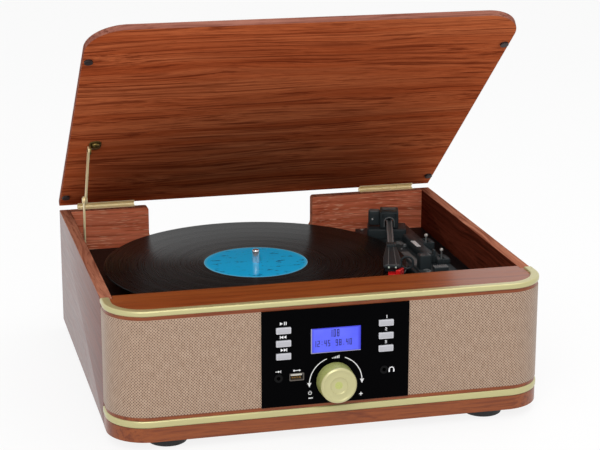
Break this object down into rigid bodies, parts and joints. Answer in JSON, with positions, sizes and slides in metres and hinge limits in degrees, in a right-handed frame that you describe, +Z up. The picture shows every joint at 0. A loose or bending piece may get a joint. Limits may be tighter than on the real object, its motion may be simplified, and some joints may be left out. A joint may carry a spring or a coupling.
{
  "type": "stereo music centre",
  "caption": "Wooden record player with rounded cloth front, control panel with knob and display, and a lift-up lid held open by a brass stay.",
  "frame": {"origin": "bottom centre of the bounding box, on the standing surface under the feet", "axes": "+Z up, +Y to the back, so the control panel faces -Y, and +X to the right as the user sees it"},
  "size_m": [0.4062, 0.3874, 0.3668],
  "materials": {
    "cabinet_wood": "satin red-brown wood grain foil",
    "rail_wood": "satin red-brown wood grain foil",
    "board": "raw fibre board",
    "gold_trim": "pale green-gold metallic",
    "cloth": "fine beige speaker cloth",
    "panel_black": "gloss black",
    "display": "lit blue display",
    "board_green": "circuit board with parts",
    "steel": "plain steel",
    "socket_metal": "plated shell",
    "jack_black": "matt black",
    "basket": "black painted steel",
    "cone_paper": "black cone paper",
    "socket_black": "matt black",
    "foot_black": "black rubber",
    "deck_black": "satin black",
    "motor_metal": "plated can",
    "bearing_brass": "turned",
    "arm_black": "satin black",
    "brass": "yellow brass, slightly dull",
    "belt": "black rubber belt",
    "pulley_brass": "turned",
    "platter_black": "satin black",
    "mat_black": "ribbed rubber",
    "spindle_chrome": "bright",
    "vinyl": "grooved black vinyl",
    "label_blue": "printed blue",
    "tube_grey": "dark grey, satin",
    "stylus_red": "bright red",
    "lever_light": "light grey",
    "bumper": "dark brown rubber",
    "knob_gold": "pale green-gold metallic",
    "button_silver": "light silver-grey"
  },
  "bodies": {
    "cabinet": {"side_panel_left": "cabinet_wood", "side_panel_right": "cabinet_wood", "rear_panel": "cabinet_wood", "base_board": "board", "top_rail": "rail_wood", "front_plinth": "rail_wood", "front_baffle": "board", "grille_left": "cloth", "grille_right": "cloth", "trim_upper": "gold_trim", "trim_lower": "gold_trim", "control_panel": "panel_black", "display_module": "display", "control_board": "board_green", "volume_pot": "steel", "usb_socket": "socket_metal", "front_jacks": "jack_black", "speaker_left": "basket", "speaker_right": "basket", "speaker_cones": "cone_paper", "main_board": "board_green", "rear_socket_plate": "socket_black", "rear_sockets": "socket_black", "feet": "foot_black", "deck_plate": "deck_black", "drive_motor": "motor_metal", "platter_bearing": "bearing_brass", "tonearm_base": "arm_black", "arm_rest": "arm_black", "cabinet_hinge_leaves": "brass", "stay_wall_bracket": "brass", "drive_belt": "belt"},
    "motor_drive": {"motor_pulley": "pulley_brass"},
    "turntable": {"platter": "platter_black", "slip_mat": "mat_black", "spindle": "spindle_chrome", "record_disc": "vinyl", "record_label": "label_blue"},
    "arm_swing_body": {"tonearm_pivot": "arm_black"},
    "arm_lift_body": {"tonearm_tube": "tube_grey", "counterweight": "arm_black", "headshell": "arm_black", "cartridge": "arm_black", "stylus": "stylus_red"},
    "cue_lever_body": {"cue_lever": "lever_light"},
    "speed_lever_body": {"speed_lever": "lever_light"},
    "autostop_body": {"autostop_switch": "arm_black"},
    "lid": {"lid_panel": "cabinet_wood", "lid_hinge_leaves": "brass", "lid_bumpers": "bumper", "stay_lid_bracket": "brass"},
    "stay_lower": {"stay_lower_arm": "brass"},
    "stay_upper": {"stay_upper_arm": "brass"},
    "knob": {"volume_knob": "knob_gold"},
    "button_left_1_body": {"button_left_1": "button_silver"},
    "button_left_2_body": {"button_left_2": "button_silver"},
    "button_left_3_body": {"button_left_3": "button_silver"},
    "button_right_1_body": {"button_right_1": "button_silver"},
    "button_right_2_body": {"button_right_2": "button_silver"},
    "button_right_3_body": {"button_right_3": "button_silver"}
  },
  "joints": [
    {"name": "lid_hinge", "type": "hinge", "parent": "cabinet", "child": "lid", "pos_m": [0, 0.19055, 0.1302], "axis": [1, 0, 0], "range_deg": [0, 39.3]},
    {"name": "stay_wall_pivot", "type": "hinge", "parent": "cabinet", "child": "stay_lower", "pos_m": [-0.187, 0.11675, 0.101], "axis": [1, 0, 0], "range_deg": [0, 129.4]},
    {"name": "stay_lid_pivot", "type": "hinge", "parent": "lid", "child": "stay_upper", "pos_m": [-0.184, 0.078, 0.21689], "axis": [1, 0, 0], "range_deg": [-46.9, 0]},
    {"name": "platter_spin", "type": "hinge", "parent": "cabinet", "child": "turntable", "pos_m": [-0.0255, 0.03775, 0.0893], "axis": [0, 0, 1], "continuous": true},
    {"name": "motor_spin", "type": "hinge", "parent": "cabinet", "child": "motor_drive", "pos_m": [-0.1075, -0.01925, 0.0893], "axis": [0, 0, 1], "continuous": true},
    {"name": "arm_swing", "type": "hinge", "parent": "cabinet", "child": "arm_swing_body", "pos_m": [0.139, 0.12575, 0.1125], "axis": [0, 0, 1], "range_deg": [-26, 15.6]},
    {"name": "arm_lift", "type": "hinge", "parent": "arm_swing_body", "child": "arm_lift_body", "pos_m": [0.139, 0.12575, 0.1125], "axis": [-0.9632, 0.2689, 0], "range_deg": [0, 3.5]},
    {"name": "cue_lever_tilt", "type": "hinge", "parent": "cabinet", "child": "cue_lever_body", "pos_m": [0.163, 0.07175, 0.099], "axis": [1, 0, 0], "range_deg": [-25, 25]},
    {"name": "speed_lever_tilt", "type": "hinge", "parent": "cabinet", "child": "speed_lever_body", "pos_m": [0.163, 0.02075, 0.096], "axis": [1, 0, 0], "range_deg": [-22, 22]},
    {"name": "autostop_slide", "type": "slide", "parent": "cabinet", "child": "autostop_body", "axis": [1, 0, 0], "range_m": [-0.003, 0.003]},
    {"name": "volume_turn", "type": "hinge", "parent": "cabinet", "child": "knob", "pos_m": [-0.0015, -0.17425, 0.054], "axis": [0, -1, 0], "range_deg": [-150, 150]},
    {"name": "button_left_1_press", "type": "slide", "parent": "cabinet", "child": "button_left_1_body", "axis": [0, 1, 0], "range_m": [0, 0.001], "stiffness_N_per_m": 300, "springref_m": -0.0005},
    {"name": "button_left_2_press", "type": "slide", "parent": "cabinet", "child": "button_left_2_body", "axis": [0, 1, 0], "range_m": [0, 0.001], "stiffness_N_per_m": 300, "springref_m": -0.0005},
    {"name": "button_left_3_press", "type": "slide", "parent": "cabinet", "child": "button_left_3_body", "axis": [0, 1, 0], "range_m": [0, 0.001], "stiffness_N_per_m": 300, "springref_m": -0.0005},
    {"name": "button_right_1_press", "type": "slide", "parent": "cabinet", "child": "button_right_1_body", "axis": [0, 1, 0], "range_m": [0, 0.001], "stiffness_N_per_m": 300, "springref_m": -0.0005},
    {"name": "button_right_2_press", "type": "slide", "parent": "cabinet", "child": "button_right_2_body", "axis": [0, 1, 0], "range_m": [0, 0.001], "stiffness_N_per_m": 300, "springref_m": -0.0005},
    {"name": "button_right_3_press", "type": "slide", "parent": "cabinet", "child": "button_right_3_body", "axis": [0, 1, 0], "range_m": [0, 0.001], "stiffness_N_per_m": 300, "springref_m": -0.0005}
  ],
  "couplings": [
    {"joint": "stay_wall_pivot", "follows": "lid_hinge", "ratio": 3.2891},
    {"joint": "stay_lid_pivot", "follows": "lid_hinge", "ratio": -1.1911},
    {"joint": "motor_spin", "follows": "platter_spin", "ratio": 10}
  ]
}
